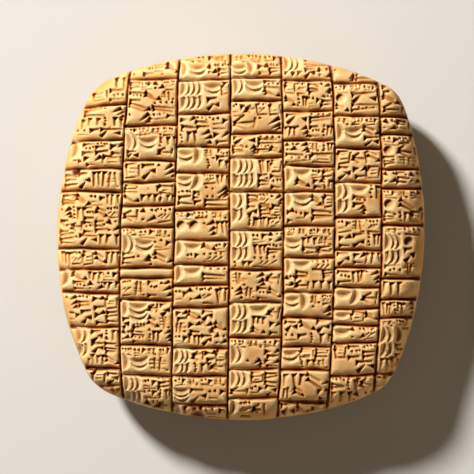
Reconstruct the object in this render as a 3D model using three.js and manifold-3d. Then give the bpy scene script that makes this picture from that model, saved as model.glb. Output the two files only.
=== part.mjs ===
// A clay tablet ruled into columns and cases and pressed with a reed stylus: one solid piece.
// Millimetres. The inscribed face looks up (+Z), its top edge is towards +Y, and the origin is
// under the middle of the flattened back, on the surface that the tablet lies on.
import * as THREE from "three";
import { ConvexGeometry } from "three/addons/geometries/ConvexGeometry.js";
import { mergeVertices } from "three/addons/utils/BufferGeometryUtils.js";
import Module from "manifold-3d";

const wasm = await Module();
wasm.setup();

// Body
const thickness = 30;
const halfWidth = 70; // from the middle to each side, the same all round
const rimHeight = 13; // height of the widest line of the edge
const faceCrown = 4; // how much the inscribed face swells in the middle
const edgeTightness = 18; // a higher power turns the edge of the face over more sharply
const backTightness = 4; // the same for the back, which is fuller
const backFlattening = 0.5; // clay pressed flat where the back rested while it dried
const cornerSoftness = 2.3;
const clayColour = 0xd9a566;

// Each side is one long arc: which way it faces, its radius, and how far its middle is shifted.
const sides = [
  { facing: 0, radius: 147, shift: 4 },
  { facing: 90, radius: 135, shift: 0 },
  { facing: 180, radius: 130, shift: 0 },
  { facing: 270, radius: 133, shift: 0.5 },
];

// The rings of points that the body is stretched over: how far each lies towards the edge, and
// how many points it has to a side. They crowd towards the edge, where the clay turns over.
const faceRings = [
  { share: 1, steps: 14 },
  { share: 0.985, steps: 14 },
  { share: 0.95, steps: 9 },
  { share: 0.89, steps: 7 },
  { share: 0.8, steps: 5 },
  { share: 0.62, steps: 4 },
  { share: 0.3, steps: 2 },
  { share: 0, steps: 1 },
];
const backRings = [
  { share: 0.97, steps: 9 },
  { share: 0.88, steps: 7 },
  { share: 0.72, steps: 5 },
  { share: 0.519, steps: 4 },
];

// Column rulings, from left to right: their x near the top, in the middle and near the bottom.
const rulingReach = 64;
const columnRulings = [
  [-41.8, -44.8, -44.5],
  [-23.2, -24.8, -25.8],
  [-3.9, -4.2, -5.0],
  [15.0, 15.7, 14.0],
  [34.0, 34.9, 32.5],
  [51.2, 52.4, 49.6],
];

// The heights (y) of the case rulings of each column, from the top down.
const caseRulings = [
  [49.0, 35.7, 25.0, 16.7, -4.7, -12.3, -21.1, -34.0, -49.6, -56.5],
  [58.9, 41.2, 28.1, 20.1, 11.3, 3.3, -11.7, -15.5, -23.7, -40.5, -51.9],
  [58.3, 45.6, 33.2, 23.7, 10.0, -1.4, -10.6, -18.2, -26.4, -41.5, -51.9, -63.4],
  [59.1, 50.6, 38.2, 29.4, 16.5, 2.2, -12.5, -24.7, -37.6, -49.8, -60.7],
  [58.2, 46.7, 35.7, 26.0, 16.5, 3.9, -7.9, -20.9, -30.2, -41.1, -50.0, -62.4],
  [57.4, 45.0, 32.8, 19.9, 7.1, -5.1, -11.7, -19.0, -27.0, -33.1, -39.7, -52.1],
  [44.6, 38.0, 25.0, 18.0, 4.1, -15.9, -23.7, -30.4, -51.7],
];

// The round marks that open each case, from the left: b is a bank of two rows of crescents, c one
// row of them, s a stack of crescents that face down, d one deep crescent and r a round hole. The
// number says how many there are, side by side or one under the other.
const roundMarks = [
  ["", "", "d1", "", "", "", "d1", "", "b2", "", ""],
  ["", "", "c2 s2", "", "", "", "c2 s2", "", "", "d1 s3", "d1 s2", "b3"],
  ["d1 s2", "b4 s2", "", "s2 d1", "s2 d1", "r2", "d1 s1", "d1 s1", "", "", "b3", "s3", "d1"],
  ["s2 d1", "c2 s2", "", "", "b4", "b2", "b3", "", "b3 s1", "d2", "c3", "d1"],
  ["c3", "", "", "", "d1 s1", "d1 s2", "s2", "d1 s1", "s2 d1", "", "s2", "", ""],
  ["", "r1", "d1 s2", "", "b2 s1", "", "", "", "s1 d1", "s1", "s1", "", ""],
  ["", "", "r1", "", "r1", "b3 r1", "", "", "b2 d1", ""],
];

// The leading stroke of each kind of group, in shares of its cell: where its head is (across and
// up from the middle), which way its tail points, and its length.
const strokeGroups = [
  { across: -0.45, up: 0.15, angle: 0, length: 0.9 },
  { across: 0.45, up: 0.15, angle: 180, length: 0.9 },
  { across: -0.25, up: 0.48, angle: -90, length: 0.95 },
  { across: 0.38, up: 0.45, angle: -140, length: 1.0 },
  { across: -0.4, up: -0.42, angle: 38, length: 1.0 },
  { across: -0.42, up: 0.1, angle: 0, length: 0.5 },
  { across: -0.42, up: 0.42, angle: -35, length: 0.75 },
];

// Tools, each pressed square to the face. Sizes of a crescent are shares of its radius.
const columnRuling = { halfWidth: 0.6, depth: 0.95 };
const caseRuling = { halfWidth: 0.5, depth: 0.75, gap: 0.1 };
const rulingBend = 0.8; // how far a length of a ruling may run under the curve of the face
const crescent = { radius: 3.2, depth: 0.45, tilt: 28, across: 1.12, pitch: 0.89, sides: 6 };
const roundHole = { radius: 2.2, depth: 1.8, draft: 0.85, sides: 8 };
const wedge = { width: 2.3, depth: 1.15, headShare: 0.12 };
const clearance = 1; // how far a tool stands out of the clay

// Where things may go
const caseMargin = 0.8;
const foot = 1.4; // clay left blank above the lower ruling of a case
const strokeCell = { width: 5.1, height: 5.4, blankShare: 0.17, reach: 1.3 };
const inscribedShare = 0.96; // of the way from the middle to the edge
const ruledShare = 0.985;

const toRadians = Math.PI / 180;

// The distance from the middle to the edge in a direction: the nearest side, its corners eased.
function edgeDistance(angle) {
  let nearness = 0;
  for (const side of sides) {
    const facing = side.facing * toRadians;
    const inset = halfWidth - side.radius;
    const centreX = inset * Math.cos(facing) - side.shift * Math.sin(facing);
    const centreY = inset * Math.sin(facing) + side.shift * Math.cos(facing);
    const along = centreX * Math.cos(angle) + centreY * Math.sin(angle);
    const reach = along + Math.sqrt(along ** 2 - centreX ** 2 - centreY ** 2 + side.radius ** 2);
    nearness += Math.exp(-reach / cornerSoftness);
  }
  return -cornerSoftness * Math.log(nearness);
}

// How far out a point lies: 0 in the middle and 1 at the edge.
function shareAt(x, y) {
  return Math.hypot(x, y) / edgeDistance(Math.atan2(y, x));
}

function faceHeight(share) {
  const shoulder = thickness - rimHeight - faceCrown;
  const turned = Math.sqrt(Math.max(0, 1 - share ** edgeTightness));
  return rimHeight + shoulder * turned + faceCrown * (1 - share ** 2);
}

function backHeight(share) {
  const belly = (rimHeight + backFlattening) * Math.sqrt(Math.max(0, 1 - share ** backTightness));
  return Math.max(0, rimHeight - belly);
}

function facePoint(x, y) {
  return new THREE.Vector3(x, y, faceHeight(Math.min(1, shareAt(x, y))));
}

function faceNormal(x, y) {
  const reach = 0.4;
  const across = facePoint(x + reach, y).sub(facePoint(x - reach, y));
  const upwards = facePoint(x, y + reach).sub(facePoint(x, y - reach));
  return across.cross(upwards).normalize();
}

// A plain shape whose seams are closed, so that it can become a solid.
function seamless(geometry) {
  geometry.deleteAttribute("normal");
  geometry.deleteAttribute("uv");
  return mergeVertices(geometry);
}

// A closed shape as a solid that can be joined and cut.
function solidOf(geometry) {
  const mesh = new wasm.Mesh({
    numProp: 3,
    vertProperties: geometry.attributes.position.array,
    triVerts: new Uint32Array(geometry.index.array),
  });
  return new wasm.Manifold(mesh);
}

function geometryOf(solid) {
  const mesh = solid.getMesh();
  const geometry = new THREE.BufferGeometry();
  geometry.setAttribute("position", new THREE.BufferAttribute(mesh.vertProperties, 3));
  geometry.setIndex(new THREE.BufferAttribute(mesh.triVerts, 1));
  geometry.computeVertexNormals();
  return geometry;
}

// A ring of points round the middle, closer together at the four corners.
function ringPoints(ring, height) {
  const points = [];
  for (let i = 0; i < 4 * ring.steps; i++) {
    const along = (2 * (i % ring.steps)) / ring.steps - 1;
    const angle = Math.atan(Math.sin((along * Math.PI) / 2)) + (Math.floor(i / ring.steps) * Math.PI) / 2;
    const reach = ring.share * edgeDistance(angle);
    points.push(new THREE.Vector3(reach * Math.cos(angle), reach * Math.sin(angle), height));
  }
  return points;
}

// The plain pillow of clay, which bulges everywhere.
function clayPillow() {
  const face = faceRings.flatMap((ring) => ringPoints(ring, faceHeight(ring.share)));
  const back = backRings.flatMap((ring) => ringPoints(ring, backHeight(ring.share)));
  return seamless(new ConvexGeometry([...face, ...back]));
}

// Steps from a point of the face along x and y for as long as it stays inside a share.
function stepOut(x, y, stepX, stepY, share) {
  while (shareAt(x + stepX, y + stepY) < share) {
    x += stepX;
    y += stepY;
  }
  return facePoint(x, y);
}

function rulingX(ruled, y) {
  const [top, middle, bottom] = columnRulings[ruled];
  const along = y / rulingReach;
  return middle + ((top - bottom) / 2) * along + ((top + bottom) / 2 - middle) * along ** 2;
}

// The x of a column's left (side -1) or right (side 1) border at a height of the face.
function columnBorder(column, side, y, share) {
  const ruled = side < 0 ? column - 1 : column;
  if (ruled >= 0 && ruled < columnRulings.length) return rulingX(ruled, y);
  return stepOut(side * halfWidth * 0.65, y, side * 0.2, 0, share).x;
}

// The rectangle of clay that a case leaves free inside its rulings.
function caseBox(column, row) {
  const borders = caseRulings[column];
  const middleX = (columnBorder(column, -1, 0, 1) + columnBorder(column, 1, 0, 1)) / 2;
  const topEdge = stepOut(middleX, 30, 0, 0.2, inscribedShare).y;
  const bottomEdge = stepOut(middleX, -30, 0, -0.2, inscribedShare).y;
  const top = row > 0 ? borders[row - 1] - caseMargin : topEdge;
  const bottom = row < borders.length ? borders[row] + foot : bottomEdge;
  const lefts = [top, bottom].map((y) => columnBorder(column, -1, y, inscribedShare));
  const rights = [top, bottom].map((y) => columnBorder(column, 1, y, inscribedShare));
  return {
    left: Math.max(...lefts) + caseMargin,
    right: Math.min(...rights) - caseMargin,
    top,
    bottom,
  };
}

// The same throws each time for a case, so that its marks never change.
function dice(seed) {
  const modulus = 2147483647;
  let state = seed % modulus;
  return () => {
    state = (state * 16807) % modulus;
    return state / modulus;
  };
}

// The crescents and holes of one case. Each stands at the middle of its tool's end; the deepest
// part of a crescent is towards its angle. Also gives the x where the strokes start.
function roundMarksOf(column, row, box) {
  const marks = [];
  const height = box.top - box.bottom;
  let x = box.left;
  for (const token of roundMarks[column][row].split(" ").filter(Boolean)) {
    const count = Number(token[1]);
    if (token[0] === "r") {
      const radius = Math.min(roundHole.radius, height / 2);
      for (let i = 0; i < count; i++) {
        marks.push({ tool: "hole", x: x + radius, y: box.top - radius, angle: 0, radius });
        x += 2 * radius + caseMargin;
      }
    } else if (token[0] === "s") {
      const stacked = crescent.across + (count - 1) * crescent.pitch;
      const radius = Math.min(crescent.radius, height / stacked);
      for (let i = 0; i < count; i++) {
        const y = box.top - i * crescent.pitch * radius;
        marks.push({ tool: "crescent", x: x + radius, y, angle: -90, radius });
      }
      x += 2 * radius + caseMargin / 2;
    } else {
      const rows = token[0] === "b" ? 2 : 1;
      const radius = Math.min(crescent.radius, height / (2 * rows));
      for (let i = 0; i < count * rows; i++) {
        const along = (i % count) * crescent.pitch * radius;
        const y = box.top - radius * (1 + 2 * Math.floor(i / count));
        marks.push({ tool: "crescent", x: x + along, y, angle: 0, radius });
      }
      x += ((count - 1) * crescent.pitch + crescent.across) * radius + caseMargin / 2;
    }
  }
  return { marks, strokesFrom: x + caseMargin / 2 };
}

// One stroke in each cell of the clay that the round marks leave free.
function strokesOf(column, row, box, strokesFrom) {
  const strokes = [];
  const roll = dice(7919 * (column + 1) + 104729 * (row + 1));
  roll();
  const width = box.right - strokesFrom;
  const height = box.top - box.bottom;
  const across = Math.round(width / strokeCell.width);
  const down = Math.max(1, Math.round(height / strokeCell.height));
  for (let i = 0; i < across * down; i++) {
    const group = strokeGroups[Math.floor(roll() * strokeGroups.length)];
    const blank = roll() < strokeCell.blankShare;
    const cellX = strokesFrom + ((i % across) + 0.5) * (width / across);
    const cellY = box.top - (Math.floor(i / across) + 0.5) * (height / down);
    if (blank) continue;
    const x = cellX + group.across * (width / across);
    const y = cellY + group.up * (height / down);
    const room = strokeCell.reach * Math.min(width / across, height / down);
    strokes.push({ tool: "wedge", x, y, angle: group.angle, length: group.length * room });
  }
  return strokes;
}

// The end of a round reed held aslant: it digs in on one side and rises out of the clay on the
// other. Its middle is at the origin and its deepest part is towards +x.
function crescentTool(radius) {
  const tilt = crescent.tilt * toRadians;
  const height = (crescent.depth * radius + clearance + 2 * radius * Math.sin(tilt)) / Math.cos(tilt);
  const reed = seamless(new THREE.CylinderGeometry(radius, radius, height, crescent.sides));
  reed.rotateX(Math.PI / 2).translate(0, 0, height / 2).rotateY(tilt);
  return reed.translate(0, 0, radius * Math.sin(tilt) - crescent.depth * radius);
}

function holeTool(radius) {
  const height = roundHole.depth + clearance;
  const tip = radius * roundHole.draft;
  const reed = seamless(new THREE.CylinderGeometry(radius, tip, height, roundHole.sides));
  return reed.rotateX(Math.PI / 2).translate(0, 0, height / 2 - roundHole.depth);
}

// The corner of a cut reed: a three-sided spike with its head at the origin, deepest just behind
// the head and running out to a point along +x. It is grown about its deepest point, so that it
// stands out of the clay.
function wedgeTool(length) {
  const spike = seamless(new THREE.ConeGeometry(1, 1, 3));
  spike.rotateX(-Math.PI / 2).rotateZ(-Math.PI / 2).translate(0, 0, 0.5);
  spike.scale(length / 1.5, wedge.width / Math.sqrt(3), wedge.depth);
  const lean = (length * (1 / 3 - wedge.headShare)) / wedge.depth;
  spike.applyMatrix4(new THREE.Matrix4().makeShear(0, 0, 0, 0, lean, 0));
  const grown = (wedge.depth + clearance) / wedge.depth;
  return spike.scale(grown, grown, grown).translate(wedge.headShare * length, 0, -wedge.depth);
}

// Presses a tool into the face: its own z leaves the clay and its own x points along the angle.
function pressed(mark) {
  const tools = {
    crescent: () => crescentTool(mark.radius),
    hole: () => holeTool(mark.radius),
    wedge: () => wedgeTool(mark.length),
  };
  const normal = faceNormal(mark.x, mark.y);
  const angle = mark.angle * toRadians;
  const along = new THREE.Vector3(Math.cos(angle), Math.sin(angle), 0);
  along.addScaledVector(normal, -along.dot(normal)).normalize();
  const placed = new THREE.Matrix4().makeBasis(along, normal.clone().cross(along), normal);
  placed.setPosition(facePoint(mark.x, mark.y));
  return solidOf(tools[mark.tool]()).transform(placed.elements);
}

// The points of a ruling after its start, halved until each length lies along the clay.
function laidOnFace(from, to) {
  const chord = from.clone().lerp(to, 0.5);
  const middle = facePoint(chord.x, chord.y);
  if (middle.distanceTo(chord) < rulingBend) return [to];
  return [...laidOnFace(from, middle), ...laidOnFace(middle, to)];
}

// The cut of a ruling through a row of points: a V that follows the face and opens above it.
function rulingCut(stops, ruling) {
  const path = [stops[0], ...stops.slice(1).flatMap((stop, i) => laidOnFace(stops[i], stop))];
  const blade = seamless(new THREE.CylinderGeometry(1, 1, path.length - 1, 3, path.length - 1));
  const grown = (ruling.depth + clearance) / ruling.depth;
  const position = blade.attributes.position;
  for (let i = 0; i < position.count; i++) {
    const at = Math.round((path.length - 1) / 2 - position.getY(i));
    const along = path[Math.min(at + 1, path.length - 1)].clone().sub(path[Math.max(at - 1, 0)]);
    const up = faceNormal(path[at].x, path[at].y);
    const side = along.cross(up).normalize();
    const rise = (1 - position.getZ(i)) / 1.5;
    const point = path[at].clone().addScaledVector(up, rise * (ruling.depth + clearance) - ruling.depth);
    point.addScaledVector(side, (position.getX(i) * ruling.halfWidth * grown) / Math.sin(Math.PI / 3));
    position.setXYZ(i, ...point);
  }
  return solidOf(blade);
}

function columnRulingCut(index) {
  const heights = [48, 0, -48];
  const stops = heights.map((y) => facePoint(rulingX(index, y), y));
  const upperEnd = stepOut(rulingX(index, rulingReach), heights[0], 0, 0.2, ruledShare);
  const lowerEnd = stepOut(rulingX(index, -rulingReach), heights.at(-1), 0, -0.2, ruledShare);
  return rulingCut([upperEnd, ...stops, lowerEnd], columnRuling);
}

function caseRulingCuts(column) {
  return caseRulings[column].map((y) => {
    const left = facePoint(columnBorder(column, -1, y, inscribedShare) + caseRuling.gap, y);
    const right = facePoint(columnBorder(column, 1, y, inscribedShare) - caseRuling.gap, y);
    return rulingCut([left, right], caseRuling);
  });
}

const cuts = columnRulings.map((_, index) => columnRulingCut(index));
for (let column = 0; column < caseRulings.length; column++) {
  cuts.push(...caseRulingCuts(column));
  for (let row = 0; row <= caseRulings[column].length; row++) {
    const box = caseBox(column, row);
    const { marks, strokesFrom } = roundMarksOf(column, row, box);
    const strokes = strokesOf(column, row, box, strokesFrom);
    cuts.push(...[...marks, ...strokes].map(pressed));
  }
}

const carved = solidOf(clayPillow()).subtract(wasm.Manifold.union(cuts));
// Crumbs left standing between two marks are lost.
const clay = carved.decompose().reduce((a, b) => (a.volume() > b.volume() ? a : b));
const tablet = new THREE.Mesh(
  geometryOf(clay),
  new THREE.MeshStandardMaterial({ color: clayColour, roughness: 0.9 }),
);
tablet.name = "tablet";
export default new THREE.Group().add(tablet);
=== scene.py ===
# A square clay tablet that a scribe ruled into columns and cases and pressed with a reed.
# It is one lump of clay and lies on its flattened back, with its writing looking straight up.
# Shapes are worked out in millimetres and turned into metres when the mesh is made.
import math

import bmesh
import bpy
import numpy as np
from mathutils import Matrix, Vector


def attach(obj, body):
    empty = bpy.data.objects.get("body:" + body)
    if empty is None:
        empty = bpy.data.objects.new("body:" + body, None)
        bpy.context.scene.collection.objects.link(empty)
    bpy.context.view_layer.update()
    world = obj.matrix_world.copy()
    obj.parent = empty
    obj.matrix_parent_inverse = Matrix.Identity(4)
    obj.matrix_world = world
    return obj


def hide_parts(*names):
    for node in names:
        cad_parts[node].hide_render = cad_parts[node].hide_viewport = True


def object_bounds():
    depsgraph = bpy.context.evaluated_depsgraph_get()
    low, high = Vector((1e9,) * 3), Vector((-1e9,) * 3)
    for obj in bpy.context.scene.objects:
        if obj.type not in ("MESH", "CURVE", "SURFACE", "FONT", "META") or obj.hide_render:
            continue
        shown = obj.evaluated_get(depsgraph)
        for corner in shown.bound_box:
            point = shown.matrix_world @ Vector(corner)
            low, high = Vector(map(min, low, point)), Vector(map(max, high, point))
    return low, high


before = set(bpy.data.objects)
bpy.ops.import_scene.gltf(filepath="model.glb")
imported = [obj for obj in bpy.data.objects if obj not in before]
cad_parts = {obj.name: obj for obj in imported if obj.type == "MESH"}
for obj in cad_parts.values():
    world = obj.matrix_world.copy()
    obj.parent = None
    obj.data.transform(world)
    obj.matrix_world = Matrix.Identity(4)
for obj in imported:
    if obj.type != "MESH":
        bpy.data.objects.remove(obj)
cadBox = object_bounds()
print("frame loaded")

millimetre = 0.001

# The plain lump of clay
lump = {
    "thickness": 30.0,
    "halfWidth": 70.0,
    "rimHeight": 13.0,  # where the edge is widest
    "faceCrown": 4.0,
    "edgeTightness": 18,
    "backTightness": 4,
    "backFlattening": 0.5,
    "cornerSoftness": 2.3,
    "flatShare": 0.519,  # how far out the flat of the back reaches
    # facing in degrees, radius of the arc, shift of its middle
    "sides": [(0, 147, 4), (90, 135, 0), (180, 130, 0), (270, 133, 0.5)],
    "faceDivisions": 600,
    "backRings": 26,
    "profileSteps": (4001, 2001),  # how finely the profiles of the face and the back are measured
    "mostTriangles": 192000,
    "sunk": 0.35,  # how far the smooth clay lies inside the solid
}

# How uneven the clay is: the height and the width of each size of swelling
uneven = {
    "face": [(0.3, 9), (0.12, 3)],
    "flank": [(0.32, 7), (0.14, 2.2)],
    "chips": (0.5, 1.4, 0.95, 1.5),  # depth, width and the swelling at which a chip starts and is full
    "slide": 0.9,  # how far the swellings of the flank drift sideways as they rise
    "fullShare": 0.75,  # the back is even inside its flat and fully uneven beyond this share
}

# The face as a sheet of heights, one for each small square
sheet = {"reach": 72.0, "step": 0.14}
sheetCount = int(round(2 * sheet["reach"] / sheet["step"])) + 1
sheetLine = np.linspace(-sheet["reach"], sheet["reach"], sheetCount)
sheetX, sheetY = np.meshgrid(sheetLine, sheetLine)
chance = np.random.default_rng(4107)


def edgeDistance(angle):
    nearness = 0
    for facing, radius, shift in lump["sides"]:
        facing = math.radians(facing)
        inset = lump["halfWidth"] - radius
        centreX = inset * math.cos(facing) - shift * math.sin(facing)
        centreY = inset * math.sin(facing) + shift * math.cos(facing)
        along = centreX * np.cos(angle) + centreY * np.sin(angle)
        reach = along + np.sqrt(along**2 - centreX**2 - centreY**2 + radius**2)
        nearness = nearness + np.exp(-reach / lump["cornerSoftness"])
    return -lump["cornerSoftness"] * np.log(nearness)


def shareAt(x, y):
    return np.hypot(x, y) / edgeDistance(np.arctan2(y, x))


def faceHeight(share):
    shoulder = lump["thickness"] - lump["rimHeight"] - lump["faceCrown"]
    turned = np.sqrt(np.clip(1 - share ** lump["edgeTightness"], 0, 1))
    return lump["rimHeight"] + shoulder * turned + lump["faceCrown"] * (1 - share**2)


def backHeight(share):
    belly = lump["rimHeight"] + lump["backFlattening"]
    turned = np.sqrt(np.clip(1 - share ** lump["backTightness"], 0, 1))
    return np.maximum(0, lump["rimHeight"] - belly * turned)


def blurred(field, radius):
    waves = np.fft.fftfreq(sheetCount, sheet["step"])
    spread = np.exp(-2 * (math.pi * radius) ** 2 * (waves[:, None] ** 2 + waves[None, :] ** 2))
    return np.fft.ifft2(np.fft.fft2(field) * spread).real


# Random swellings of one size, mostly between -1 and 1
def swelling(radius):
    field = blurred(chance.standard_normal((sheetCount, sheetCount)), radius)
    return field / (2 * field.std())


# A random wavering along one line
def wavering(count, radius):
    steps = np.arange(-3 * radius, 3 * radius + sheet["step"], sheet["step"])
    bell = np.exp(-0.5 * (steps / radius) ** 2)
    line = np.convolve(chance.standard_normal(count + len(steps)), bell, "same")[:count]
    return line / (2 * line.std())


def eased(value, start, end):
    along = np.clip((value - start) / (end - start), 0, 1)
    return along * along * (3 - 2 * along)


# Rulings: x of the column rulings near the top, in the middle and near the bottom, and the
# heights of the case rulings of each column
ruled = {
    "reach": 64.0,
    "columns": [
        (-41.8, -44.8, -44.5),
        (-23.2, -24.8, -25.8),
        (-3.9, -4.2, -5.0),
        (15.0, 15.7, 14.0),
        (34.0, 34.9, 32.5),
        (51.2, 52.4, 49.6),
    ],
    "cases": [
        [49.0, 35.7, 25.0, 16.7, -4.7, -12.3, -21.1, -34.0, -49.6, -56.5],
        [58.9, 41.2, 28.1, 20.1, 11.3, 3.3, -11.7, -15.5, -23.7, -40.5, -51.9],
        [58.3, 45.6, 33.2, 23.7, 10.0, -1.4, -10.6, -18.2, -26.4, -41.5, -51.9, -63.4],
        [59.1, 50.6, 38.2, 29.4, 16.5, 2.2, -12.5, -24.7, -37.6, -49.8, -60.7],
        [58.2, 46.7, 35.7, 26.0, 16.5, 3.9, -7.9, -20.9, -30.2, -41.1, -50.0, -62.4],
        [57.4, 45.0, 32.8, 19.9, 7.1, -5.1, -11.7, -19.0, -27.0, -33.1, -39.7, -52.1],
        [44.6, 38.0, 25.0, 18.0, 4.1, -15.9, -23.7, -30.4, -51.7],
    ],
    # distance from the line and height of the clay there, across a column ruling from the left
    "columnProfile": [(-2.4, 0), (-1.1, -0.14), (-0.4, -0.4), (-0.1, -1.2), (0.1, -1.2),
                      (0.6, -0.3), (1.4, -0.05), (2.6, 0)],
    # the same across a case ruling, from below
    "caseProfile": [(-2.4, 0), (-1.2, 0.1), (-0.75, 0.0), (-0.2, -1.0), (0.1, -1.1),
                    (0.5, -0.66), (1.5, -0.24), (3.0, 0)],
    # how far a ruling wavers, over what length, and the same for its depth
    "columnWaver": (0.22, 3, 0.35, 1.6),
    "caseWaver": (0.22, 2.5, 0.25, 1.4),
    "columnRoom": 3,  # how much of the sheet on each side of a ruling is worked on
    "caseRoom": 4,
    "tilt": 0.35,
    "overlap": 0.2,  # case rulings run on past the column rulings by this
    # the first press of a case ruling: its place from the line's end, its turn and its lengths
    "firstPress": (-0.6, 0.1, 8, (3, 5.5)),
    "cutHeight": -0.3,  # lower clay belongs to a ruling and isn't closed again
    "cushion": (0.3, 1.8),  # how high a case stands up, and over what distance from its rulings
    "sideBeyond": 76.0,  # stand in for the rulings that the outer cases don't have
    "endBeyond": 75.0,
    # where the search for the edge starts, sideways as a share and up in millimetres, and its step
    "sideStart": 0.65,
    "endStart": 30.0,
    "outwardStep": 0.2,
    "edgeStart": 0.975,  # the marks fade out between these shares of the way to the edge
    "edgeEnd": 1.0,
}

# The round marks that open each case, from the left, each with its number: b is a bank of two
# rows of crescents, c one row, s a stack of crescents that face down and r a row of round holes.
# They stand lower where a t says that a row of small strokes comes first.
roundMarks = [
    ["", "", "c1", "", "", "", "c1", "", "b2", "", ""],
    ["", "", "t c2 s2", "", "", "", "t c2 s2", "", "", "c1 s3", "t c1 s2", "b3"],
    ["t c1 s2", "b4 s2", "", "s2 c1", "s2 c1", "t r2", "c1 s1", "c1 s1", "", "", "b3", "t s3", "c1"],
    ["t s2 c1", "c2 s2", "", "", "b4", "b2", "b3", "", "b3 s1", "t c2", "c3", "c1"],
    ["c3", "", "", "", "c1 s1", "c1 s2", "t s2", "c1 s1", "s2 c1", "", "s2", "", ""],
    ["", "t r1", "t c1 s2", "", "b2 s1", "", "", "", "s1 c1", "s1", "s1", "", ""],
    ["", "", "t r1", "", "t r1", "t b3 r1", "", "", "t b2 c1", ""],
]

# The reed and how deep it goes
reed = {
    "margin": 0.55,  # marks keep this far from the rulings, and farther from the one below them
    "foot": 1.1,
    "lead": 3.1,  # the height of a row of small strokes above round marks, and the gap below it
    "leadGap": 0.2,
    "edgeShare": 0.985,
    "inset": -0.35,  # how far the first crescents stand from the ruling
    "reachDown": 5.0,  # the height over which round marks keep clear of a slanting ruling
    "radius": 2.3,
    "rowHeight": 2.2,  # room for a row of crescents, in radii
    "across": 1.35,  # room for one crescent and from one to the next, in radii
    "pitch": 0.86,
    "depth": 0.88,
    "floorReach": 0.95,  # where the floor comes up to the face, in radii from the deepest place
    "wallSlope": 0.62,
    "crescentForce": (0.85, 1.12),
    "crescentLean": 0.2,
    "crescentTurn": 7,
    "crescentRoom": 2,
    "bankGap": 0.4,
    "stackInset": 0.5,
    "stackGaps": (0.8, 0.9),  # beside and below a stack
    # below this height the walls of the round marks also get a painted highlight
    "smoothUpTo": 0.2,  # the reed smooths the clay up to this height
    "holeRadius": 2.1,
    "holeDepth": 1.15,
    "holeWall": 0.6,  # how much the wall of a hole differs from side to side
    "holeFloor": (0.5, 0.6),  # slope and depth of its floor, in shares
    "holeAim": (-40, 15),  # where its gentle side looks, and how much that varies
    "holeRoom": 1,
    "bold": (2.8, 2.4, 1.6),  # width, length and depth of the head of a bold stroke
    "tail": (1.6, 0.8),  # width and depth
    "line": (1.35, 0.75),
    "hair": (0.85, 0.5),
    "tick": (1.5, 1.8, 1.0),  # width, length and depth
    "heel": (3.0, 3.0, 1.5),
    "slash": (2.8, 1.45),  # width and depth
    "force": (0.8, 1.15),  # how much the depth of strokes varies
    "deepest": (0.6, 0.22),  # the deepest place of a head: the farthest, and as a share of its length
    "rise": 0.45,  # how much of its depth a groove loses along its length
    "endSlope": 1.6,
    "gentleSide": 0.3,  # the side of a stroke that the reed's flat lay against is wider by this
    "flatFacing": (0.67, 0.74),  # where the reed's flat looked, across and up
    "strokeRoom": 0.5,
    "leastPatch": 2.4,  # smaller patches of clay stay bare
    "cellWidths": [4.8, 5.4, 7.4],  # about how wide a group of strokes is
    "cellHeight": 4.5,
    "jitter": 0.3,  # how far strokes stray in place, in turn and in length
    "turn": 9,
    "stretch": (0.85, 1.15),
    "leastLength": 1.8,
    "blankShare": 0.03,
    "small": [2, 9, 14],  # the groups of small strokes
}

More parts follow.
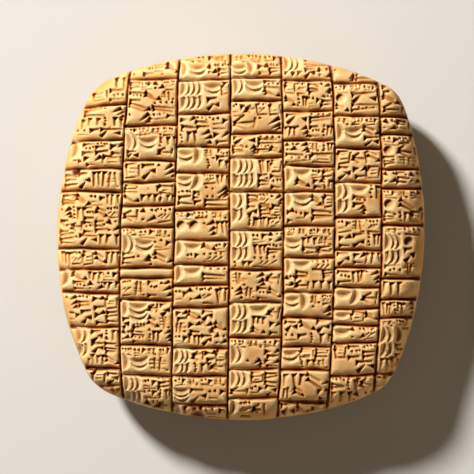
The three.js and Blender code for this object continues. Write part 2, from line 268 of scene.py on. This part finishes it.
# Plain groups of strokes: kind, place of the head across and up in shares of the cell, the way
# the tail points, and the length in shares of the cell
strokeGroups = [
    [("bold", -0.48, 0.36, 0, 0.95), ("bold", -0.48, 0.06, 0, 0.95), ("bold", -0.48, -0.24, 0, 0.95),
     ("tick", 0.46, 0.2, 180, 1)],
    [("bold", -0.48, 0.06, 0, 0.95), ("bold", -0.48, -0.26, 0, 0.95), ("tick", -0.36, 0.46, -50, 1),
     ("tick", -0.12, 0.46, -50, 1), ("tick", 0.12, 0.46, -50, 1), ("tick", 0.36, 0.46, -50, 1)],
    [("tick", -0.42, 0.44, -60, 1), ("tick", -0.2, 0.46, -60, 1), ("tick", 0.02, 0.44, -60, 1),
     ("tick", 0.24, 0.46, -60, 1), ("hair", -0.1, 0.12, -140, 0.4), ("hair", 0.12, 0.12, -140, 0.5),
     ("hair", 0.34, 0.12, -140, 0.5), ("line", -0.45, -0.38, 0, 0.9)],
    [("bold", -0.36, 0.46, -90, 0.9), ("bold", 0.0, 0.46, -90, 0.9), ("bold", 0.36, 0.46, -90, 0.9)],
    [("bold", -0.42, 0.42, 0, 0.84), ("line", -0.42, -0.38, 0, 0.84), ("bold", -0.42, 0.3, -90, 0.7),
     ("line", 0.42, 0.4, -90, 0.78), ("hair", -0.2, 0.14, 0, 0.5), ("hair", -0.2, -0.1, 0, 0.5)],
    [("slash", 0.42, 0.46, -142, 0.72), ("slash", 0.5, 0.12, -142, 0.72),
     ("slash", 0.5, -0.2, -142, 0.5), ("tick", -0.42, 0.38, -30, 1)],
    [("slash", 0.5, 0.02, -145, 0.7), ("heel", -0.38, 0.38, -40, 1), ("tick", -0.38, -0.2, 0, 1),
     ("tick", 0.2, 0.44, -60, 1), ("tick", 0.44, 0.4, -60, 1)],
    [("slash", -0.42, -0.42, 36, 0.8), ("bold", -0.45, 0.36, 0, 0.85), ("heel", 0.46, 0.0, 180, 1)],
    [("tick", -0.34, 0.46, -35, 1), ("tick", -0.34, 0.22, -35, 1), ("tick", -0.34, -0.02, -35, 1),
     ("tick", -0.34, -0.26, -35, 1), ("bold", 0.12, 0.44, -90, 0.9), ("bold", 0.42, 0.44, -90, 0.9)],
    [("line", -0.2, 0.45, -90, 0.85), ("line", 0.06, 0.45, -90, 0.85), ("hair", -0.42, 0.3, 0, 0.8),
     ("hair", -0.42, 0.08, 0, 0.8), ("hair", -0.42, -0.14, 0, 0.8), ("tick", 0.4, -0.34, 180, 1)],
    [("bold", -0.45, 0.06, 32, 0.6), ("bold", -0.45, 0.02, 0, 0.85), ("bold", -0.45, -0.02, -32, 0.6),
     ("line", 0.42, 0.4, -90, 0.8)],
    [("heel", -0.4, 0.24, 0, 1), ("bold", -0.3, -0.3, 0, 0.8), ("slash", 0.5, 0.42, -140, 0.6)],
    [("bold", -0.45, 0.42, -28, 0.85), ("bold", -0.45, 0.12, -28, 0.85),
     ("slash", 0.5, -0.08, -145, 0.5)],
    [("bold", -0.46, 0.38, 0, 0.92), ("tick", -0.2, 0.14, -60, 1), ("tick", 0.06, 0.14, -60, 1),
     ("tick", 0.32, 0.14, -60, 1), ("bold", -0.46, -0.32, 0, 0.92)],
    [("tick", -0.42, 0.3, -50, 1), ("tick", -0.14, 0.34, -50, 1), ("bold", 0.14, 0.2, 0, 0.4),
     ("hair", -0.42, -0.16, 0, 0.5), ("hair", -0.42, -0.42, 0, 0.9)],
]


def rulingX(index, y):
    top, middle, bottom = ruled["columns"][index]
    along = y / ruled["reach"]
    return middle + (top - bottom) / 2 * along + ((top + bottom) / 2 - middle) * along**2


# Steps out from a point of the face for as long as it stays inside a share
def stepOut(x, y, stepX, stepY, share):
    while shareAt(x + stepX, y + stepY) < share:
        x += stepX
        y += stepY
    return x, y


def columnBorder(column, side, y, share):
    index = column - 1 if side < 0 else column
    if 0 <= index < len(ruled["columns"]):
        return rulingX(index, y)
    start = side * lump["halfWidth"] * ruled["sideStart"]
    return stepOut(start, y, side * ruled["outwardStep"], 0, share)[0]


# The heights between which a case is free
def caseHeights(column, row):
    borders = ruled["cases"][column]
    share, start, step = reed["edgeShare"], ruled["endStart"], ruled["outwardStep"]
    inner = min(max(0, columnBorder(column, -1, 0, share)), columnBorder(column, 1, 0, share))
    top = borders[row - 1] if row > 0 else stepOut(inner, start, 0, step, share)[1]
    bottom = borders[row] if row < len(borders) else stepOut(inner, -start, 0, -step, share)[1]
    return top - reed["margin"], bottom + reed["foot"]


# How far a case reaches to each side at a height
def caseSides(column, y):
    return (columnBorder(column, -1, y, reed["edgeShare"]) + reed["margin"],
            columnBorder(column, 1, y, reed["edgeShare"]) - reed["margin"])


softFace = sum(height * swelling(width) for height, width in uneven["face"])
face = np.zeros_like(softFace)
# the walls that the round reed smoothed: later less rough, and painted with a highlight
burnished = np.zeros_like(softFace)  # where the round reed has smoothed the clay


def swellCases():
    # each case stands up as a low cushion between its rulings
    rise, width = ruled["cushion"]
    end, side = ruled["endBeyond"], np.full(sheetCount, ruled["sideBeyond"])
    for column, borders in enumerate(ruled["cases"]):
        lefts = rulingX(column - 1, sheetLine) if column > 0 else -side
        rights = rulingX(column, sheetLine) if column < len(ruled["columns"]) else side
        for top, bottom in zip([end] + borders, borders + [-end]):
            rows = slice(*np.searchsorted(sheetLine, [bottom, top]))
            sides = np.minimum(sheetX[rows] - lefts[rows, None], rights[rows, None] - sheetX[rows])
            ends = np.minimum(top - sheetY[rows], sheetY[rows] - bottom)
            nearest = np.minimum(sides, ends)
            cushion = rise * (1 - np.exp(-np.maximum(nearest, 0) / width))
            softFace[rows] += np.where(sides > 0, cushion, 0)


def ruleColumns():
    places, heights = np.array(ruled["columnProfile"]).T
    aside, length, depthShare, depthLength = ruled["columnWaver"]
    room = ruled["columnRoom"]
    for index in range(len(ruled["columns"])):
        line = rulingX(index, sheetLine) + aside * wavering(sheetCount, length)
        depth = 1 + depthShare * wavering(sheetCount, depthLength)
        columns = slice(*np.searchsorted(sheetLine, [line.min() - room, line.max() + room]))
        away = sheetX[:, columns] - line[:, None]
        cut = np.interp(away, places, heights) * depth[:, None]
        face[:, columns] = np.minimum(face[:, columns], cut) + np.maximum(cut, 0)


def ruleCases():
    places, heights = np.array(ruled["caseProfile"]).T
    aside, length, depthShare, depthLength = ruled["caseWaver"]
    pressX, pressY, turn, pressLengths = ruled["firstPress"]
    over, room = ruled["overlap"], ruled["caseRoom"]
    for column, borders in enumerate(ruled["cases"]):
        for y in borders:
            left = columnBorder(column, -1, y, reed["edgeShare"])
            right = columnBorder(column, 1, y, reed["edgeShare"])
            columns = slice(*np.searchsorted(sheetLine, [left - over, right + over]))
            rows = slice(*np.searchsorted(sheetLine, [y - room, y + room]))
            x = sheetLine[columns]
            tilt = chance.uniform(-ruled["tilt"], ruled["tilt"])
            line = y + tilt * (2 * (x - left) / (right - left) - 1)
            line = line + aside * wavering(len(x), length)
            depth = 1 + depthShare * wavering(len(x), depthLength)
            away = sheetY[rows, columns] - line
            cut = np.interp(away, places, heights) * depth
            face[rows, columns] = np.minimum(face[rows, columns], cut) + np.maximum(cut, 0)
            if column > 0:
                angle = chance.uniform(-turn, turn)
                stroke("heel", left + pressX, y + pressY, angle, chance.uniform(*pressLengths))


# Presses a tool into the face. The shape gives the height of the tool's end for places along its
# axis and beside it. A round reed pushes clay ahead of it, which closes what was pressed before,
# and its shape says too where it smooths the clay; these walls are later made less rough and
# painted with a highlight.
def press(x, y, angle, reach, shape, pushes=False):
    columns = slice(*np.searchsorted(sheetLine, [x - reach, x + reach]))
    rows = slice(*np.searchsorted(sheetLine, [y - reach, y + reach]))
    angle = math.radians(angle)
    across, up = sheetX[rows, columns] - x, sheetY[rows, columns] - y
    along = across * math.cos(angle) + up * math.sin(angle)
    beside = up * math.cos(angle) - across * math.sin(angle)
    if pushes:
        pressedTo, smoothedAndLitHere = shape(along, beside)
        closes = (pressedTo < 0) & ~onRuling[rows, columns]
        face[rows, columns] = np.where(closes, pressedTo, np.minimum(face[rows, columns], pressedTo))
        smoothedAndLitHere = np.where(pressedTo < reed["smoothUpTo"], smoothedAndLitHere, burnished[rows, columns])
        burnished[rows, columns] = smoothedAndLitHere
    else:
        face[rows, columns] = np.minimum(face[rows, columns], shape(along, beside))


# The end of a round reed held aslant
def crescent(x, y, angle, radius):
    depth = reed["depth"] * chance.uniform(*reed["crescentForce"])
    lean = chance.uniform(-reed["crescentLean"], reed["crescentLean"])

    def shape(along, beside):
        floor = (radius - along + lean * beside) * depth / (radius * reed["floorReach"]) - depth
        wall = (np.hypot(along, beside) - radius) * reed["wallSlope"] - depth
        return np.maximum(floor, wall), wall > floor

    turn = chance.uniform(-reed["crescentTurn"], reed["crescentTurn"])
    press(x, y, angle + turn, radius + reed["crescentRoom"], shape, pushes=True)


def hole(x, y, radius):
    # steep towards the upper left and sloping out towards the lower right
    slope, sunk = reed["holeFloor"]
    aim, varies = reed["holeAim"]

    def shape(along, beside):
        away = np.hypot(along, beside)
        side = along / np.maximum(away, 0.1)  # never divides by nothing
        wall = (away - radius) * (1.0 - reed["holeWall"] * side)
        floor = reed["holeDepth"] * (slope * along / radius - sunk)
        return np.maximum(floor, wall), along > 0

    angle = aim + chance.uniform(-varies, varies)
    press(x, y, angle, radius + reed["holeRoom"], shape, pushes=True)


# A three-sided spike: its head is at the origin and it runs out to a point along its axis
def spike(along, beside, length, widths, depth):
    farthest, share = reed["deepest"]
    deepest = min(farthest, share * length)
    half = np.where(beside > 0, *widths)
    head = (deepest - along) / deepest
    flank = (half * (along - deepest) + length * np.abs(beside)) / ((length - deepest) * half)
    return depth * (np.maximum(head, flank) - 1)


# A narrow V of much the same width from end to end
def groove(along, beside, length, widths, depth):
    half = np.where(beside > 0, *widths)
    sinks = depth * (1 - reed["rise"] * np.clip(along / length, 0, 1))
    ends = np.maximum(-along, along - length) * reed["endSlope"]
    return np.maximum(sinks * (np.abs(beside) / half - 1), ends)


def stroke(kind, x, y, angle, length):
    force = chance.uniform(*reed["force"])
    turn = math.radians(angle)
    flatX, flatY = reed["flatFacing"]
    wider = reed["gentleSide"] * (-flatY * math.sin(turn) - flatX * math.cos(turn))

    def widths(width):
        return width * (0.5 + wider), width * (0.5 - wider)

    def shape(along, beside):
        if kind in ("tick", "heel"):
            width, _, depth = reed[kind]
            return spike(along, beside, length, widths(width), depth * force)
        if kind == "slash":
            width, depth = reed[kind]
            return spike(along, beside, length, widths(width), depth * force)
        if kind in ("hair", "line"):
            width, depth = reed[kind]
            return groove(along, beside, length, widths(width), depth * force)
        headWidth, headLength, headDepth = reed["bold"]
        tailWidth, tailDepth = reed["tail"]
        head = spike(along, beside, min(length, headLength), widths(headWidth), headDepth * force)
        tail = groove(along, beside, length, widths(tailWidth), tailDepth * force)
        return np.minimum(head, tail)

    press(x, y, angle, length + reed["strokeRoom"], shape)


# Fills a patch of clay with groups of strokes in rows
def pressStrokes(left, right, top, bottom, choice=range(len(strokeGroups))):
    across = round((right - left) / chance.choice(reed["cellWidths"]))
    down = round((top - bottom) / reed["cellHeight"])
    if min(right - left, top - bottom) < reed["leastPatch"]:
        return
    across, down = max(1, across), max(1, down)
    cellWidth, cellHeight = (right - left) / across, (top - bottom) / down
    jitter = reed["jitter"]
    group = None
    for i in range(across * down):
        middleX = left + (i % across + 0.5) * cellWidth
        middleY = top - (i // across + 0.5) * cellHeight
        if chance.uniform() < reed["blankShare"]:
            continue
        group = chance.choice(np.setdiff1d(choice, group))
        for kind, shareX, shareY, angle, length in strokeGroups[group]:
            x = middleX + shareX * cellWidth + chance.uniform(-jitter, jitter)
            y = middleY + shareY * cellHeight + chance.uniform(-jitter, jitter)
            if shareAt(x, y) > reed["edgeShare"]:
                continue
            turn = math.radians(angle)
            size = length * math.hypot(cellWidth * math.cos(turn), cellHeight * math.sin(turn))
            if kind in ("tick", "heel"):
                size = reed[kind][1]
            angle += chance.uniform(-reed["turn"], reed["turn"])
            size = max(reed["leastLength"], size * chance.uniform(*reed["stretch"]))
            stroke(kind, x, y, angle, size)


# Presses the round marks of a case and gives the x at which they end
def pressRoundMarks(tokens, left, top, bottom):
    height = top - bottom
    pitch, across = reed["pitch"], reed["across"]
    besideStack, belowStack = reed["stackGaps"]
    x = left
    for token in tokens:
        kind, count = token[0], int(token[1])
        if kind == "r":
            radius = min(reed["holeRadius"], height / 2)
            for i in range(count):
                hole(x + radius + i * (2 * radius + reed["margin"]), top - radius, radius)
            width, used = count * (2 * radius + reed["margin"]), 2 * radius
        elif kind == "s":
            radius = min(reed["radius"], height / (across + (count - 1) * pitch))
            for i in reversed(range(count)):
                crescent(x + radius + reed["stackInset"], top - i * pitch * radius, -90, radius)
            width = 2 * radius + besideStack
            used = ((count - 1) * pitch + across) * radius + belowStack
        else:
            rows = 2 if kind == "b" else 1
            radius = min(reed["radius"], height / (reed["rowHeight"] * rows))
            for i in reversed(range(count * rows)):
                along = i % count * pitch * radius + reed["inset"]
                crescent(x + along, top - radius * (1 + reed["rowHeight"] * (i // count)), 0, radius)
            width = ((count - 1) * pitch + across) * radius + reed["inset"] + reed["bankGap"]
            used = rows * reed["rowHeight"] * radius + reed["bankGap"]
        pressStrokes(x, x + width, top - used, bottom)
        x += width + reed["margin"]
    return x


def pressCases():
    for column, borders in enumerate(ruled["cases"]):
        for row in range(len(borders) + 1):
            top, bottom = caseHeights(column, row)
            tokens = roundMarks[column][row].split()
            if "t" in tokens:
                left, right = caseSides(column, top - reed["lead"] / 2)
                pressStrokes(left, right, top, top - reed["lead"], reed["small"])
                tokens.remove("t")
                top -= reed["lead"] + reed["leadGap"]
            start = None
            if tokens:
                heights = top, max(bottom, top - reed["reachDown"])
                left = max(caseSides(column, y)[0] for y in heights)
                start = pressRoundMarks(tokens, left, top, bottom)
            lines = max(1, round((top - bottom) / reed["cellHeight"]))
            for line in range(lines):
                upper = top - line * (top - bottom) / lines
                lower = top - (line + 1) * (top - bottom) / lines
                left, right = caseSides(column, (upper + lower) / 2)
                pressStrokes(left if start is None else start, right, upper, lower)


# Knocks and losses: x, y, radius and depth
damage = {
    "notches": [(-34.6, 67.5, 2.6, 1.4), (-16.6, -69.0, 4.2, 1.5), (-61.6, 24.4, 1.7, 2.2)],
    "pits": 170,
    "pitSpread": 66,
    "pitStretch": 1.2,
    "pitRadius": (0.25, 0.9),
    "pitDepth": (0.1, 0.45),
    "sag": 0.55,  # how much the clay round the marks sinks with them
    "sagRadius": 1.4,
    "lip": 0.65,  # how much the clay pushed aside stands up beside a mark
    "lipRadius": 0.6,
    "stain": (-61.6, 24.4, 2.6),  # a rusty spot
    "flank": (12.0, 21.0),  # the heights between which the handled flank gives way to the face
    "rounding": 0.12,  # how far the sharpest edges are worn round
}


def dent(x, y, radius, depth):
    def shape(along, beside):
        away = np.hypot(along, beside * damage["pitStretch"])
        return depth * ((away / radius) ** 2 - 1)

    press(x, y, chance.uniform(0, 360), radius, shape)


def wearFace():
    for x, y, radius, depth in damage["notches"]:
        dent(x, y, radius, depth)
    for _ in range(damage["pits"]):
        x, y = chance.uniform(-damage["pitSpread"], damage["pitSpread"], 2)
        dent(x, y, chance.uniform(*damage["pitRadius"]), chance.uniform(*damage["pitDepth"]))


swellCases()
ruleColumns()
ruleCases()
onRuling = face < ruled["cutHeight"]
pressCases()
wearFace()
fading = 1 - eased(shareAt(sheetX, sheetY), ruled["edgeStart"], ruled["edgeEnd"])
relief = softFace + face * fading
relief += damage["sag"] * blurred(face * fading, damage["sagRadius"])
relief += damage["lip"] * (relief - blurred(relief, damage["lipRadius"]))
relief = blurred(relief, damage["rounding"])
relief -= lump["sunk"]
print("face pressed")


# The height of a sheet at given places
def sampled(field, x, y):
    column = np.clip((x + sheet["reach"]) / sheet["step"], 0, sheetCount - 1.001)
    row = np.clip((y + sheet["reach"]) / sheet["step"], 0, sheetCount - 1.001)
    c, r = column.astype(int), row.astype(int)
    u, v = column - c, row - r
    upper = field[r, c] * (1 - u) + field[r, c + 1] * u
    lower = field[r + 1, c] * (1 - u) + field[r + 1, c + 1] * u
    return upper * (1 - v) + lower * v


# Shares at equal distances along a profile
def evenShares(height, shares, count):
    reach = lump["halfWidth"]
    lengths = np.hypot(np.diff(shares) * reach, np.diff(height(shares)))
    travelled = np.concatenate([[0], np.cumsum(lengths)])
    return np.interp(np.linspace(0, travelled[-1], count), travelled, shares)


def vertexArray(mesh, name="co"):
    values = np.empty(len(mesh.vertices) * 3)
    mesh.vertices.foreach_get(name, values)
    return values.reshape(-1, 3)


def makeTablet():
    # a flat grid for the face, then its border drawn out in rings for the back
    divisions, rings = lump["faceDivisions"], lump["backRings"]
    build = bmesh.new()
    bmesh.ops.create_grid(build, x_segments=divisions, y_segments=divisions, size=1)
    border = [edge for edge in build.edges if edge.is_boundary]
    for ring in range(1, rings + 1):
        drawn = bmesh.ops.extrude_edge_only(build, edges=border)["geom"]
        corners = [item for item in drawn if isinstance(item, bmesh.types.BMVert)]
        border = [item for item in drawn if isinstance(item, bmesh.types.BMEdge) and item.is_boundary]
        grow = (1 + ring) / ring
        bmesh.ops.scale(build, vec=(grow, grow, 1), verts=corners)
    bmesh.ops.edgeloop_fill(build, edges=border)
    mesh = bpy.data.meshes.new("tabletClay")
    build.to_mesh(mesh)
    build.free()

    # round each square ring into the outline and lift it to the profile
    flat = vertexArray(mesh)
    angle = np.arctan2(flat[:, 1], flat[:, 0])
    square = np.abs(flat[:, :2]).max(axis=1)
    onBack = square > 1.0001  # outside the border of the grid
    half = divisions // 2
    faceSteps, backSteps = lump["profileSteps"]
    faceShares = evenShares(faceHeight, np.linspace(0, 1, faceSteps), half + 1)
    backShares = evenShares(backHeight, np.linspace(1, lump["flatShare"], backSteps), rings + 1)
    onFace = np.interp(square, np.linspace(0, 1, half + 1), faceShares)
    share = np.where(onBack, np.interp(square - 1, np.arange(rings + 1), backShares), onFace)
    reach = share * edgeDistance(angle)
    height = np.where(onBack, backHeight(share), faceHeight(share))
    places = np.column_stack([reach * np.cos(angle), reach * np.sin(angle), height])
    mesh.vertices.foreach_set("co", places.ravel())
    mesh.update()
    build = bmesh.new()
    build.from_mesh(mesh)
    bmesh.ops.recalc_face_normals(build, faces=build.faces)
    build.to_mesh(mesh)
    build.free()

    # press the writing in along the normals and leave the flanks and the back uneven
    normals = vertexArray(mesh, "normal")
    fingers = sum(height * swelling(width) for height, width in uneven["flank"])
    depth, width, start, full = uneven["chips"]
    chips = -depth * eased(swelling(width), start, full)
    slide = uneven["slide"] * (places[:, 2] - lump["rimHeight"])
    handled = sampled(fingers + chips, places[:, 0] + slide, places[:, 1] - slide) - lump["sunk"]
    handled = handled * eased(share, lump["flatShare"], uneven["fullShare"])
    height = sampled(relief, places[:, 0], places[:, 1])
    blend = np.where(onBack, 0, eased(places[:, 2], *damage["flank"]))
    places += normals * (height * blend + handled * (1 - blend))[:, None]
    places[:, 2] = np.maximum(places[:, 2], 0)
    mesh.vertices.foreach_set("co", places.ravel())
    mesh.update()
    return mesh


def thinned(mesh):
    # joins triangles where the clay is smooth and keeps them where it is pressed
    mesh.calc_loop_triangles()
    work = bpy.data.objects.new("thinning", mesh)
    bpy.context.scene.collection.objects.link(work)
    modifier = work.modifiers.new("fewer", "DECIMATE")
    modifier.ratio = min(1, lump["mostTriangles"] / len(mesh.loop_triangles))
    modifier.use_collapse_triangulate = True
    evaluated = work.evaluated_get(bpy.context.evaluated_depsgraph_get())
    result = bpy.data.meshes.new_from_object(evaluated)
    bpy.data.objects.remove(work)
    return result


clayMesh = thinned(makeTablet())
places = vertexArray(clayMesh)
print("clay thinned to", len(clayMesh.polygons), "triangles")

# What the colour follows: how deep a place lies below the clay round it, which is coloured darker as
# painted shade, and how far it stands out, which is coloured paler as a painted highlight
colouring = {
    "roundRadius": 1.6,  # how much clay round a place counts
    "fullyPressed": 1.2,
    "fullyRaised": 0.5,
    # where the painted highlight along the outline starts, as a share of the way to the edge
    "rubbedShare": 0.98,
    "burnishedBlur": 0.2,
    "stainCore": 0.3,
    # the marks near the right edge: where the rust starts and is full, its strength and how fast
    # it comes with depth
    "rustyEdge": (46, 64, 0.7, 3),
}


# A sheet's values at the corners of the mesh, and nothing on its underside
def onTablet(field):
    return np.where(places[:, 2] > lump["rimHeight"], sampled(field, places[:, 0], places[:, 1]), 0)


cavity = blurred(relief, colouring["roundRadius"]) - relief
deepest, highest = colouring["fullyPressed"], colouring["fullyRaised"]
pressed = onTablet(np.clip(cavity, 0, deepest) / deepest)
stainX, stainY, stainRadius = damage["stain"]
fromStain = np.hypot(sheetX - stainX, sheetY - stainY)
spot = onTablet(1 - eased(fromStain, colouring["stainCore"] * stainRadius, stainRadius))
rustStart, rustFull, rustStrength, rustGain = colouring["rustyEdge"]
edgeRust = rustStrength * eased(places[:, 0], rustStart, rustFull)
masks = {
    # painted shade: the deeper a place lies below the clay round it, the darker it is coloured
    "pressed": pressed,
    # painted highlight: what stands out above the clay round it is coloured paler
    "raised": onTablet(np.clip(-cavity, 0, highest) / highest),
    # painted highlight: a pale band along the outline of the face
    "rubbed": eased(shareAt(places[:, 0], places[:, 1]), colouring["rubbedShare"], 1),
    # painted shade: the flanks below the face are coloured darker
    "flank": 1 - eased(places[:, 2], *damage["flank"]),
    # the walls that the round reed smoothed: less rough, and painted with a highlight
    "burnished": onTablet(blurred(burnished, colouring["burnishedBlur"])),
    "rusty": np.maximum(spot, edgeRust * np.clip(rustGain * pressed, 0, 1)),
}
for name, values in masks.items():
    layer = clayMesh.attributes.new(name, "FLOAT", "POINT")
    layer.data.foreach_set("value", values.astype(np.float32))

# The mesh keeps inside the box of the solids
low, high = np.array(cadBox[0]) / millimetre, np.array(cadBox[1]) / millimetre
places = np.clip(places, low, high)
clayMesh.vertices.foreach_set("co", (places * millimetre).ravel())
clayMesh.update()
clayMesh.polygons.foreach_set("use_smooth", np.ones(len(clayMesh.polygons), bool))
clayTablet = bpy.data.objects.new("clay_tablet", clayMesh)
bpy.context.scene.collection.objects.link(clayTablet)


# Shader maths as plain expressions
class Value:
    def __init__(self, finish, socket):
        self.finish = finish
        self.socket = socket

    def maths(self, operation, first, second):
        return self.finish.add("ShaderNodeMath", {"operation": operation}, {0: first, 1: second})

    def __add__(self, other):
        return self.maths("ADD", self, other)

    def __radd__(self, other):
        return self.maths("ADD", other, self)

    def __sub__(self, other):
        return self.maths("SUBTRACT", self, other)

    def __rsub__(self, other):
        return self.maths("SUBTRACT", other, self)

    def __mul__(self, other):
        return self.maths("MULTIPLY", self, other)

    def __rmul__(self, other):
        return self.maths("MULTIPLY", other, self)


class Finish:
    def __init__(self, name):
        self.material = bpy.data.materials.new(name)
        self.material.use_nodes = True
        self.tree = self.material.node_tree
        self.shader = self.tree.nodes["Principled BSDF"]

    # Adds a node: its settings first, then what goes into its sockets. Gives its output.
    def add(self, kind, settings=None, sockets=None, output=0):
        node = self.tree.nodes.new(kind)
        for name, value in (settings or {}).items():
            setattr(node, name, value)
        for name, value in (sockets or {}).items():
            self.feed(node.inputs[name], value)
        return Value(self, node.outputs[output])

    def feed(self, socket, value):
        if isinstance(value, Value):
            self.tree.links.new(value.socket, socket)
        else:
            socket.default_value = value

    def set(self, sockets):
        for name, value in sockets.items():
            self.feed(self.shader.inputs[name], value)

    def mixed(self, share, first, second):
        settings = {"data_type": "RGBA", "clamp_factor": True}
        return self.add("ShaderNodeMix", settings, {0: share, 6: first, 7: second}, output=2)

    def limited(self, value, start, end, low=0.0, high=1.0):
        settings = {"clamp": True}
        return self.add("ShaderNodeMapRange", settings, {0: value, 1: start, 2: end, 3: low, 4: high})


clayLook = {
    "golden": (0.53, 0.23, 0.033, 1),
    "peach": (0.585, 0.255, 0.053, 1),
    "cream": (0.84, 0.61, 0.31, 1),
    # painted shade for the flanks
    "earth": (0.25, 0.115, 0.035, 1),
    # painted shade for the hollows, brown and then near black
    "shadeBrown": (0.31, 0.088, 0.008, 1),
    "deep": (0.045, 0.005, 0.0004, 1),
    "greyGreen": (0.42, 0.36, 0.20, 1),
    "rust": (0.16, 0.03, 0.004, 1),
    # scale, detail and roughness of each noise, and the part of it that counts
    "patches": (28, 3, 0.6, 0.38, 0.62),
    "clouds": (90, 5, 0.6, 0.35, 0.7),
    "specks": (900, 4, 0.7, 0.55, 0.72),
    "cloudShare": 0.2,
    "speckShare": 0.2,
    # how strong the painted highlight is on what stands out
    "raisedShare": 0.9,
    # how strong the painted highlight is along the outline
    "rubbedShare": 0.4,
    # how strong the painted shade on the flanks is
    "flankShare": 0.85,
    "flankClouds": 0.35,
    # how deep a hollow lies where its painted shade starts and is full, brown and then near black
    "shadeBrownDepths": (0.02, 0.4),
    "deepShadeDepths": (0.35, 0.8),
    # how strong the painted highlight is on the walls of the round marks
    "burnishedShare": 0.55,
    "rustShare": 0.85,
    # scale, detail, roughness and height of each grain
    "fineGrain": (1600, 5, 0.65, 0.6),
    "coarseGrain": (420, 4, 0.6, 0.7),
    "grainStrength": 0.5,
    "grainDistance": 0.0003,
    "roughness": 0.82,
    "smoothRoughness": 0.62,
    "specular": 0.3,
}


def makeClayFinish():
    clay = Finish("clay")
    place = clay.add("ShaderNodeTexCoord", output=3)  # Object coordinates
    look = clayLook

    def mask(name):
        return clay.add("ShaderNodeAttribute", {"attribute_name": name}, output=2)

    def noise(scale, detail, rough):
        return clay.add("ShaderNodeTexNoise", None,
                        {"Vector": place, "Scale": scale, "Detail": detail, "Roughness": rough})

    def mottling(name):
        return clay.limited(noise(*look[name][:3]), *look[name][3:])

    def grains(name):
        return noise(*look[name][:3]) * look[name][3]

    pressed, burnished = mask("pressed"), mask("burnished")
    patches, clouds, specks = mottling("patches"), mottling("clouds"), mottling("specks")
    # painted shade: the flanks are coloured darker than the face, a little unevenly
    flank = mask("flank") * (look["flankShare"] - clouds * look["flankClouds"])
    colour = clay.mixed(patches, look["golden"], look["peach"])
    colour = clay.mixed(clouds * look["cloudShare"], colour, look["cream"])
    colour = clay.mixed(specks * look["speckShare"], colour, look["greyGreen"])
    # painted highlight on what stands out
    colour = clay.mixed(mask("raised") * look["raisedShare"], colour, look["cream"])
    # painted highlight along the outline of the face
    colour = clay.mixed(mask("rubbed") * look["rubbedShare"], colour, look["cream"])
    colour = clay.mixed(flank, colour, look["earth"])
    # painted shade in the hollows: brown, then near black where they are deepest
    colour = clay.mixed(clay.limited(pressed, *look["shadeBrownDepths"]), colour, look["shadeBrown"])
    colour = clay.mixed(clay.limited(pressed, *look["deepShadeDepths"]), colour, look["deep"])
    # painted highlight on the walls of the round marks
    colour = clay.mixed(burnished * look["burnishedShare"], colour, look["cream"])
    colour = clay.mixed(mask("rusty") * look["rustShare"], colour, look["rust"])
    grain = {"Height": grains("fineGrain") + grains("coarseGrain"),
             "Strength": look["grainStrength"], "Distance": look["grainDistance"]}
    clay.set({
        "Base Color": colour,
        "Roughness": clay.limited(burnished, 0, 1, look["roughness"], look["smoothRoughness"]),
        "Normal": clay.add("ShaderNodeBump", None, grain),
        "Specular IOR Level": look["specular"],
    })
    return clay.material


clayMesh.materials.clear()
clayMesh.materials.append(makeClayFinish())
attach(clayTablet, "root")
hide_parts("tablet")
print("tablet finished")

# Floor, light and camera
studio = {
    "floorSize": 12.0,
    "floorColour": (0.66, 0.655, 0.64, 1),
    "floorRoughness": 0.9,
    # angle in degrees from +x, height in degrees, distance, size, power and colour of each light
    "key": (132.0, 29.5, 1.8, 0.26, 67.0, (1.0, 0.96, 0.89)),
    "fill": (-46.0, 10.0, 1.2, 0.5, 3.4, (1.0, 0.84, 0.62)),
    "skyColour": (1.0, 0.80, 0.54, 1),
    "skyStrength": 0.09,
    "lens": 110.0,
    "sensor": 36.0,
    "pixels": 474,
    "tabletPixels": 367,
    "tabletWidth": 0.140,
    "centrePixels": (3.7, 0.3),  # how far right of and above the middle the tablet lies
}

floorBuild = bmesh.new()
bmesh.ops.create_grid(floorBuild, x_segments=1, y_segments=1, size=studio["floorSize"] / 2)
floorMesh = bpy.data.meshes.new("floor")
floorBuild.to_mesh(floorMesh)
floorBuild.free()
floorFinish = Finish("paleFloor")
floorFinish.set({"Base Color": studio["floorColour"], "Roughness": studio["floorRoughness"]})
floorMesh.materials.append(floorFinish.material)
floor = bpy.data.objects.new("floor", floorMesh)
bpy.context.scene.collection.objects.link(floor)

for name in ("key", "fill"):
    angle, height, distance, size, power, colour = studio[name]
    turn, rise = math.radians(angle), math.radians(height)
    light = bpy.data.lights.new(name, "AREA")
    light.shape = "DISK"
    light.size = size
    light.energy = power
    light.color = colour
    lamp = bpy.data.objects.new(name, light)
    lamp.location = [distance * part for part in
                     (math.cos(turn) * math.cos(rise), math.sin(turn) * math.cos(rise), math.sin(rise))]
    lamp.rotation_euler = (math.pi / 2 - rise, 0, turn + math.pi / 2)
    bpy.context.scene.collection.objects.link(lamp)

world = bpy.data.worlds.new("sky")
world.use_nodes = True
world.node_tree.nodes["Background"].inputs["Color"].default_value = studio["skyColour"]
world.node_tree.nodes["Background"].inputs["Strength"].default_value = studio["skyStrength"]
bpy.context.scene.world = world
bpy.context.scene.view_settings.view_transform = "Standard"

pixelSize = studio["tabletWidth"] / studio["tabletPixels"]
cameraData = bpy.data.cameras.new("camera")
cameraData.lens = studio["lens"]
cameraData.sensor_width = studio["sensor"]
camera = bpy.data.objects.new("camera", cameraData)
distance = studio["pixels"] * pixelSize * studio["lens"] / studio["sensor"]
rightOf, above = studio["centrePixels"]
camera.location = (-rightOf * pixelSize, -above * pixelSize, lump["rimHeight"] * millimetre + distance)
bpy.context.scene.collection.objects.link(camera)
bpy.context.scene.camera = camera
print("studio set")
